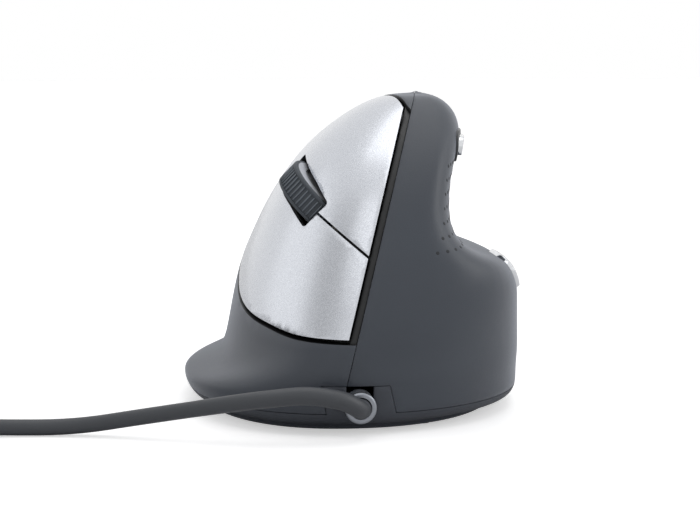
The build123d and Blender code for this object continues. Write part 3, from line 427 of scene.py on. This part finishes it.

# %% [markdown]
# Coat and lacquer are sprayed from outside, so they stop at the rims. The wall of the panel's
# opening keeps the bare plastic: those are the shell's faces that look at the panel. The walls of
# the wheel slot and of the split, and the panel's inside, are bare too: those are the panel's faces
# that don't look outwards. All these faces get the near-black frame plastic, which also stands in
# as painted shade in the gaps.

# %% Bare plastic and painted shade inside the rims
bare_shaded_reach = 0.0022  # metres from a wall to the panel, at most
touching = 0.00001  # nearer than this, a face is the panel's neighbour
facing_share = 0.35  # cosine from which a wall looks at the panel
outward_share = 0.2  # cosine under which a face doesn't look outwards
outward = Vector((-0.745, -0.357, 0.563)).normalized()
panels = []
for name in ("index_button", "middle_button"):
    panel = bmesh.new()
    panel.from_mesh(nodes[name].data)
    panels.append(BVHTree.FromBMesh(panel))
    panel.free()


def looks_at_panel(polygon):
    """Whether the nearest point of the panel lies in front of this face."""
    for panel in panels:
        place, normal, index, gap = panel.find_nearest(polygon.center, bare_shaded_reach)
        if place is None or gap < touching:
            continue
        if (place - polygon.center).normalized().dot(polygon.normal) > facing_share:
            return True
    return False


def looks_aside(polygon):
    """Whether this face of the panel is a wall or an inside."""
    return polygon.normal.dot(outward) < outward_share


bare_shaded_counts = {}
for name, is_bare_shaded in (
    ("finger_shell", looks_at_panel),
    ("index_button", looks_aside),
    ("middle_button", looks_aside),
):
    mesh = dressed[name].data
    # These faces get the near-black frame plastic: bare plastic, and painted shade in the gaps
    # between the panel and the shell.
    mesh.materials.append(frame_and_gap_shade_plastic)
    for polygon in mesh.polygons:
        if is_bare_shaded(polygon):
            polygon.material_index = 1
    bare_shaded_counts[name] = sum(polygon.material_index for polygon in mesh.polygons)
print("bare faces:", bare_shaded_counts)

# %% [markdown]
# The cord is one soft PVC jacket of 3.7 mm, from the tapered boot to the plug. Its line is a single
# NURBS spline through listed points: over the desk, round the coil of its unseen length, and down
# to the plug. The turns of the coil are more points of the same spline, set from the coil's own
# sizes.

# %% The cord's line
millimetre = 0.001
cord_radius = 1.85
desk_line = [
    (-41.5, -57.3, 7.25),
    (-53.0, -52.8, 4.9),
    (-68.0, -48.0, 1.9),
    (-84.0, -46.6, 1.9),
    (-99.3, -47.0, 2.75),
    (-112.0, -47.0, 2.75),
]
coil_x, coil_lead_y, coil_low = -118.0, -47.0, 2.75
coil_start, coil_pitch, coil_layer = 27.0, 5.0, 4.4
coil_half_turns, coil_layers = 4, 4
points_per_half = 8


def coil_line():
    """The coil's points: flat spirals in and out, with a climb between layers."""
    centre_y = coil_lead_y + coil_start
    points = []
    reach, side, inward, z = coil_start, -1, 1, coil_low
    for level in range(coil_layers):
        last = level == coil_layers - 1
        for _ in range(coil_half_turns + last):
            next_reach = reach - inward * coil_pitch / 2
            middle = centre_y + side * (reach - next_reach) / 2
            radius = (reach + next_reach) / 2
            for step in range(points_per_half):
                angle = math.pi * (step + 0.5) / points_per_half
                across = radius * math.sin(angle)
                along = radius * math.cos(angle)
                points.append((coil_x + side * across, middle + side * along, z))
            reach, side = next_reach, -side
        if not last:
            for step in range(points_per_half):
                angle = math.pi * (step + 0.5) / points_per_half
                rise = (1 - math.cos(angle)) / 2
                points.append(
                    (
                        coil_x + side * reach * math.sin(angle),
                        centre_y + side * reach * math.cos(angle),
                        z + coil_layer * rise,
                    )
                )
            z += coil_layer
            side, inward = -side, -inward
    return points, centre_y + side * reach, z


coil_points, coil_end_y, coil_high = coil_line()
tail_line = [
    (coil_x - 6.0, coil_end_y, coil_high),
    (-131.0, coil_end_y, coil_high),
    (-143.5, -50.8, 11.2),
    (-154.5, -53.4, 5.6),
    (-164.5, -56.6, 2.4),
    (-173.0, -58.6, 3.1),
    (-180.0, -59.0, 4.25),
    (-186.5, -59.0, 4.25),
]
route = desk_line + coil_points + tail_line
line_length = sum((Vector(b) - Vector(a)).length for a, b in zip(route, route[1:]))
print("cord points:", len(route), "runs add up to", round(line_length, 1), "mm")

# %% [markdown]
# A curve with a round bevel is the simplest tube that keeps one thickness in every
# bend.

# %% The cord's spline
curve = bpy.data.curves.new("cord", "CURVE")
curve.dimensions = "3D"
curve.bevel_depth = cord_radius * millimetre
curve.bevel_resolution = 5
curve.use_fill_caps = True
spline = curve.splines.new("NURBS")
spline.points.add(len(route) - 1)
for point, place in zip(spline.points, route):
    point.co = (*(value * millimetre for value in place), 1.0)
spline.order_u = 3
spline.use_endpoint_u = True
spline.resolution_u = 6
cord = bpy.data.objects.new("cord", curve)
scene.collection.objects.link(cord)
cord.data.materials.append(cord_pvc)
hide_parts("cord_lead", "cord_coil", "cord_tail")
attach(cord, "housing")
print("cord:", 2 * cord_radius, "mm thick, leaves at", desk_line[0])

# %% [markdown]
# The tyre is a band of rubber with a fine cross rib every 1.2 mm between two
# smooth borders. One rib is a short bar with a round back, and it is drawn here
# once, lying along the axle.

# %% One rib of the tyre
wheel_centre = Vector((-8.15, -24.9, 50.4)) * millimetre
forward = Vector((0.124, -0.904, -0.409))
forward = (forward - outward * forward.dot(outward)).normalized()
axle = outward.cross(forward)
rib_count = 60
rib_radius = 11.72
rib_length = 4.5
rib_width = 0.44
rib_height = 0.62
rib_steps = 6
rib_end_inset = 0.12


def rib_bar():
    """One cross rib: it lies along Z, and its round back faces along X."""
    bar = bmesh.new()
    rows = []
    for end in (-1, 1):
        row = []
        for step in range(rib_steps):
            angle = math.pi * step / (rib_steps - 1)
            across = math.cos(angle) * rib_width / 2
            up = math.sin(angle) * rib_height / 2
            inset = rib_end_inset * math.sin(angle)
            row.append(bar.verts.new((up, across, end * (rib_length / 2 - inset))))
        rows.append(row)
    for step in range(rib_steps - 1):
        bar.faces.new((rows[0][step], rows[0][step + 1], rows[1][step + 1], rows[1][step]))
    bar.faces.new((rows[0][0], rows[1][0], rows[1][-1], rows[0][-1]))
    bar.faces.new(rows[0][::-1])
    bar.faces.new(rows[1])
    bmesh.ops.recalc_face_normals(bar, faces=bar.faces)
    mesh = bpy.data.meshes.new("rib_bar")
    bar.to_mesh(mesh)
    bar.free()
    mesh.transform(Matrix.Scale(millimetre, 4))
    return bpy.data.objects.new("rib_bar", mesh)


bar = rib_bar()
scene.collection.objects.link(bar)
print("faces in one rib:", len(bar.data.polygons))

# %% [markdown]
# What repeats by a rule is placed by Geometry Nodes. Two helpers serve each tree:
# one makes it with its named inputs, the other runs it on an empty object and keeps
# the result as a plain mesh. An input is set by its socket's identifier, because
# two inputs may share a name.

# %% Geometry Nodes helpers


def new_tree(name, inputs):
    """An empty Geometry Nodes tree with named inputs, and its group nodes."""
    tree = bpy.data.node_groups.new(name, "GeometryNodeTree")
    tree.interface.new_socket("Geometry", in_out="OUTPUT", socket_type="NodeSocketGeometry")
    for label, kind in inputs:
        tree.interface.new_socket(label, in_out="INPUT", socket_type=kind)
    return tree, tree.nodes.new("NodeGroupInput"), tree.nodes.new("NodeGroupOutput")


def made_mesh(name, tree, values):
    """The tree's result as a plain mesh object."""
    holder = bpy.data.objects.new(name + "_maker", bpy.data.meshes.new(name + "_maker"))
    scene.collection.objects.link(holder)
    modifier = holder.modifiers.new("nodes", "NODES")
    modifier.node_group = tree
    for item in tree.interface.items_tree:
        if item.in_out == "INPUT":
            modifier[item.identifier] = values[item.name]
    evaluated = holder.evaluated_get(bpy.context.evaluated_depsgraph_get())
    mesh = bpy.data.meshes.new_from_object(evaluated)
    holder.modifiers.remove(modifier)
    bpy.data.objects.remove(holder)
    piece = bpy.data.objects.new(name, mesh)
    scene.collection.objects.link(piece)
    return piece


print("helpers:", new_tree.__name__, made_mesh.__name__)

# %% [markdown]
# A circle of points about the axle carries one bar each, turned to face outwards.
# An array modifier could do it too, but here the count is one number, and the bars
# are spread evenly whatever it is. The ring is then laid onto the wheel.

# %% Ribs of the tyre
tree, given, result = new_tree(
    "tyre_ribs",
    [
        ("Ribs", "NodeSocketInt"),
        ("Radius", "NodeSocketFloat"),
        ("Bar", "NodeSocketObject"),
        ("Rubber", "NodeSocketMaterial"),
    ],
)
ring = add_node(tree, "GeometryNodeMeshCircle", Vertices=(given, "Ribs"), Radius=(given, "Radius"))
bar_geometry = add_node(tree, "GeometryNodeObjectInfo", Object=(given, "Bar"))
position = add_node(tree, "GeometryNodeInputPosition")
facing = add_node(
    tree,
    "FunctionNodeAlignRotationToVector",
    {"axis": "X", "pivot_axis": "Z"},
    Vector=(position, "Position"),
)
bars = add_node(
    tree,
    "GeometryNodeInstanceOnPoints",
    Points=(ring, "Mesh"),
    Instance=(bar_geometry, "Geometry"),
    Rotation=(facing, "Rotation"),
)
real = add_node(tree, "GeometryNodeRealizeInstances", Geometry=(bars, "Instances"))
coloured = add_node(
    tree, "GeometryNodeSetMaterial", Geometry=(real, "Geometry"), Material=(given, "Rubber")
)
tree.links.new(coloured.outputs["Geometry"], result.inputs["Geometry"])

# The ribs take the rubber that is painted lighter, as a painted highlight.
ribs = made_mesh(
    "tyre_ribs",
    tree,
    {"Ribs": rib_count, "Radius": rib_radius * millimetre, "Bar": bar, "Rubber": rib_highlight_rubber},
)
bpy.data.objects.remove(bar)
place = Matrix((forward, -outward, axle)).transposed().to_4x4()
place.translation = wheel_centre
ribs.data.transform(place)
ribs.data.shade_smooth()
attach(ribs, "wheel")
print("ribs:", rib_count, "spacing", round(2 * math.pi * rib_radius / rib_count, 2), "mm")

# %% [markdown]
# The thumb's hollow carries rows of small grip dots. Their dark colour is painted shade, standing
# in for the shade in small dimples; they are also duller than the coat round them. One dot is a
# flat disc with a rounded rim that stands a few hundredths of a millimetre proud.

# %% One grip dot
# The dots' dark colour is painted shade, standing in for the shade in the dimples.
grip_dot_shade, tree, shader = start_material("dimple_dot_painted_shade", "#26282C", 0.7)
grain(tree, shader, 0.3, 0.008, (0.62, 0.78))
dot_radius = 0.42
dot_height = 0.06
dot_shoulder = 0.02
dot_top_share = 0.8
dot_sides = 12


def grip_dot():
    """A flat round dot with a rounded rim, lying in XY."""
    dot = bmesh.new()
    rings = []
    profile = (
        (dot_radius, -dot_height),
        (dot_radius, dot_shoulder),
        (dot_top_share * dot_radius, dot_height),
    )
    for radius, height in profile:
        ring = []
        for step in range(dot_sides):
            angle = 2 * math.pi * step / dot_sides
            ring.append(dot.verts.new((radius * math.cos(angle), radius * math.sin(angle), height)))
        rings.append(ring)
    for low, high in zip(rings, rings[1:]):
        for step in range(dot_sides):
            after = (step + 1) % dot_sides
            dot.faces.new((low[step], low[after], high[after], high[step]))
    dot.faces.new(rings[-1])
    dot.faces.new(rings[0][::-1])
    mesh = bpy.data.meshes.new("grip_dot")
    dot.to_mesh(mesh)
    dot.free()
    mesh.transform(Matrix.Scale(millimetre, 4))
    return bpy.data.objects.new("grip_dot", mesh)


dot = grip_dot()
scene.collection.objects.link(dot)
print("faces in one dot:", len(dot.data.polygons))

# %% [markdown]
# The dots follow the curved shell, so a grid of rays is cast onto it from a ring
# about an upright axis. A column turns the ray about that axis and a row lifts it.
# Each does a little of the other too, because the rows slope and the columns lean.
# A helper makes one step of this sum.

# %% Rays onto the thumb side
dot_columns, dot_rows = 17, 7
column_turn = math.radians(5.2)
row_skew = math.radians(5.0)
first_turn = math.radians(-60.5)
row_step = 3.18
column_rise = 0.28
first_height = 41.2
grip_axis = (2.0, -28.0)
ray_radius = 60.0
ray_length = 0.08


def field(tree, operation, first, second):
    """One maths step between two fields or numbers."""
    step = add_node(tree, "ShaderNodeMath", {"operation": operation})
    for index, value in enumerate((first, second)):
        if isinstance(value, tuple):
            tree.links.new(value[0].outputs[value[1]], step.inputs[index])
        elif value is not None:
            step.inputs[index].default_value = value
    return (step, "Value")


tree, given, result = new_tree(
    "grip_dots",
    [
        ("Columns", "NodeSocketInt"),
        ("Rows", "NodeSocketInt"),
        ("Shell", "NodeSocketObject"),
        ("Dot", "NodeSocketObject"),
        ("Dot shade", "NodeSocketMaterial"),
    ],
)
grid = add_node(
    tree,
    "GeometryNodeMeshGrid",
    {"Size X": dot_columns - 1.0, "Size Y": dot_rows - 1.0},
    Vertices_X=(given, "Columns"),
    Vertices_Y=(given, "Rows"),
)
position = add_node(tree, "GeometryNodeInputPosition")
index = add_node(tree, "ShaderNodeSeparateXYZ", Vector=(position, "Position"))
column = field(tree, "ADD", (index, "X"), (dot_columns - 1) / 2)
row = field(tree, "ADD", (index, "Y"), (dot_rows - 1) / 2)
turn = field(tree, "ADD", field(tree, "MULTIPLY", column, column_turn), first_turn)
turn = field(tree, "ADD", turn, field(tree, "MULTIPLY", row, row_skew))
height = field(tree, "MULTIPLY", row, row_step * millimetre)
height = field(tree, "ADD", height, field(tree, "MULTIPLY", column, column_rise * millimetre))
height = field(tree, "ADD", height, first_height * millimetre)
ray_x = field(tree, "COSINE", turn, None)
ray_y = field(tree, "SINE", turn, None)
source = add_node(tree, "ShaderNodeCombineXYZ")
for socket, ray, middle in (("X", ray_x, grip_axis[0]), ("Y", ray_y, grip_axis[1])):
    reach = field(tree, "MULTIPLY", ray, ray_radius * millimetre)
    reach = field(tree, "ADD", reach, middle * millimetre)
    tree.links.new(reach[0].outputs["Value"], source.inputs[socket])
tree.links.new(height[0].outputs["Value"], source.inputs["Z"])
inward = add_node(tree, "ShaderNodeCombineXYZ")
for socket, ray in (("X", ray_x), ("Y", ray_y)):
    step = field(tree, "MULTIPLY", ray, -1.0)
    tree.links.new(step[0].outputs["Value"], inward.inputs[socket])
print("rays:", dot_columns * dot_rows)

# %% [markdown]
# A dot is laid wherever a ray lands, facing along the shell's normal. The instances
# are made real and coloured at the end of the tree, and ride with the housing.

# %% Grip dots on the thumb side
shell = add_node(tree, "GeometryNodeObjectInfo", Object=(given, "Shell"))
landing = add_node(
    tree,
    "GeometryNodeRaycast",
    {"Ray Length": ray_length},
    Target_Geometry=(shell, "Geometry"),
    Source_Position=(source, "Vector"),
    Ray_Direction=(inward, "Vector"),
)
facing = add_node(
    tree, "FunctionNodeAlignRotationToVector", {"axis": "Z"}, Vector=(landing, "Hit Normal")
)
dot_geometry = add_node(tree, "GeometryNodeObjectInfo", Object=(given, "Dot"))
dots = add_node(
    tree,
    "GeometryNodeInstanceOnPoints",
    Points=(grid, "Mesh"),
    Selection=(landing, "Is Hit"),
    Instance=(dot_geometry, "Geometry"),
    Rotation=(facing, "Rotation"),
)
laid = add_node(
    tree,
    "GeometryNodeSetPosition",
    Geometry=(dots, "Instances"),
    Position=(landing, "Hit Position"),
)
real = add_node(tree, "GeometryNodeRealizeInstances", Geometry=(laid, "Geometry"))
coloured = add_node(
    tree, "GeometryNodeSetMaterial", Geometry=(real, "Geometry"), Material=(given, "Dot shade")
)
tree.links.new(coloured.outputs["Geometry"], result.inputs["Geometry"])

faces_per_dot = len(dot.data.polygons)
grip_dots = made_mesh(
    "grip_dots",
    tree,
    {
        "Columns": dot_columns,
        "Rows": dot_rows,
        "Shell": nodes["thumb_shell"],
        "Dot": dot,
        "Dot shade": grip_dot_shade,
    },
)
bpy.data.objects.remove(dot)
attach(grip_dots, "housing")
print("grip dots:", len(grip_dots.data.polygons) // faces_per_dot)

# %% [markdown]
# The mouse stands on a pale laminate table. The table glows a little for the camera
# alone, so that it reads as white without more light on the mouse, and it keeps the
# mouse's shadow.

# %% Table
floor_mesh = bpy.data.meshes.new("floor")
floor_reach = 3.0
floor_glow = 0.5
floor_mesh.from_pydata(
    [(x * floor_reach, y * floor_reach, 0) for x, y in ((-1, -1), (1, -1), (1, 1), (-1, 1))],
    [],
    [(0, 1, 2, 3)],
)
floor = bpy.data.objects.new("floor", floor_mesh)
scene.collection.objects.link(floor)
floor_paint, tree, shader = start_material("pale_table_laminate", "#F4F4F5", 0.5)
place = add_node(tree, "ShaderNodeTexCoord")
mottle = add_node(
    tree, "ShaderNodeTexNoise", {"Scale": 1000.0 / 60.0}, Vector=(place, "Object")
)
spread = add_node(
    tree, "ShaderNodeMapRange", {"To Min": 0.45, "To Max": 0.55}, Value=(mottle, "Fac")
)
tree.links.new(spread.outputs["Result"], shader.inputs["Roughness"])
seen = add_node(tree, "ShaderNodeLightPath")
glow = add_node(tree, "ShaderNodeMath", {"operation": "MULTIPLY"})
glow.inputs[1].default_value = floor_glow
tree.links.new(seen.outputs["Is Camera Ray"], glow.inputs[0])
shader.inputs["Emission Color"].default_value = (1.0, 1.0, 1.0, 1.0)
tree.links.new(glow.outputs["Value"], shader.inputs["Emission Strength"])
floor.data.materials.append(floor_paint)
print("table:", 2 * floor_reach, "m wide")

# %% [markdown]
# The world is the white studio. It is full white for the camera and for what
# lacquer, chrome and acrylic mirror, and dimmer as plain light, so that colours
# render about as they are written. One dimmer patch to the front left, fixed in
# the room, gives the silver panel its soft dark band.

# %% World
plain_light = 0.45
unlit_direction = Vector((-0.79, -0.34, 0.5)).normalized()
unlit_cosines = (0.89, 0.99)
unlit_depth = 0.42

world = bpy.data.worlds.new("studio")
scene.world = world
world.use_nodes = True
tree = world.node_tree
background = tree.nodes["Background"]
background.inputs["Color"].default_value = (1.0, 1.0, 1.0, 1.0)
path = add_node(tree, "ShaderNodeLightPath")
direct = add_node(tree, "ShaderNodeMath", {"operation": "MAXIMUM"})
tree.links.new(path.outputs["Is Camera Ray"], direct.inputs[0])
tree.links.new(path.outputs["Is Glossy Ray"], direct.inputs[1])
mirrored = add_node(tree, "ShaderNodeMath", {"operation": "MAXIMUM"})
tree.links.new(direct.outputs["Value"], mirrored.inputs[0])
tree.links.new(path.outputs["Is Transmission Ray"], mirrored.inputs[1])
strength = add_node(
    tree, "ShaderNodeMapRange", {"To Min": plain_light, "To Max": 1.0}, Value=(mirrored, "Value")
)
gaze = add_node(tree, "ShaderNodeTexCoord")
unlit = add_node(
    tree, "ShaderNodeVectorMath", {"operation": "DOT_PRODUCT"}, Vector=(gaze, "Generated")
)
unlit.inputs[1].default_value = unlit_direction
shade = add_node(
    tree,
    "ShaderNodeMapRange",
    {
        "From Min": unlit_cosines[0],
        "From Max": unlit_cosines[1],
        "To Min": 0.0,
        "To Max": unlit_depth,
    },
    Value=(unlit, "Value"),
)
glossy_shade = add_node(tree, "ShaderNodeMath", {"operation": "MULTIPLY"})
tree.links.new(shade.outputs["Result"], glossy_shade.inputs[0])
tree.links.new(path.outputs["Is Glossy Ray"], glossy_shade.inputs[1])
lit = add_node(tree, "ShaderNodeMath", {"operation": "SUBTRACT"})
tree.links.new(strength.outputs["Result"], lit.inputs[0])
tree.links.new(glossy_shade.outputs["Value"], lit.inputs[1])
tree.links.new(lit.outputs["Value"], background.inputs["Strength"])
print("world:", world.name, "unlit towards", [round(value, 2) for value in unlit_direction])

# %% [markdown]
# Four large soft lamps stand to the left, to the front left, above and to the
# right. They are square and about half a metre wide or more, so that their shadows
# stay soft and their mirror images on the lacquer have no hard edge.

# %% Lamps


def soft_lamp(name, place, size, power):
    """A square soft lamp that looks at the mouse."""
    data = bpy.data.lights.new(name, "AREA")
    data.size = size
    data.energy = power
    lamp = bpy.data.objects.new(name, data)
    scene.collection.objects.link(lamp)
    lamp.location = place
    lamp.rotation_euler = (Vector(place) - aim).to_track_quat("Z", "Y").to_euler()
    return lamp


lamps = [
    soft_lamp("lamp_left", (-0.9, 0.26, 0.42), 0.7, 0.45),
    soft_lamp("lamp_front", (-0.5, -0.62, 0.78), 0.45, 0.42),
    soft_lamp("lamp_top", (0.1, 0.1, 1.0), 0.9, 2.7),
    soft_lamp("lamp_right", (0.85, -0.2, 0.5), 0.6, 2.4),
]
scene.view_settings.view_transform = "Standard"
print("lamps:", [lamp.name for lamp in lamps])
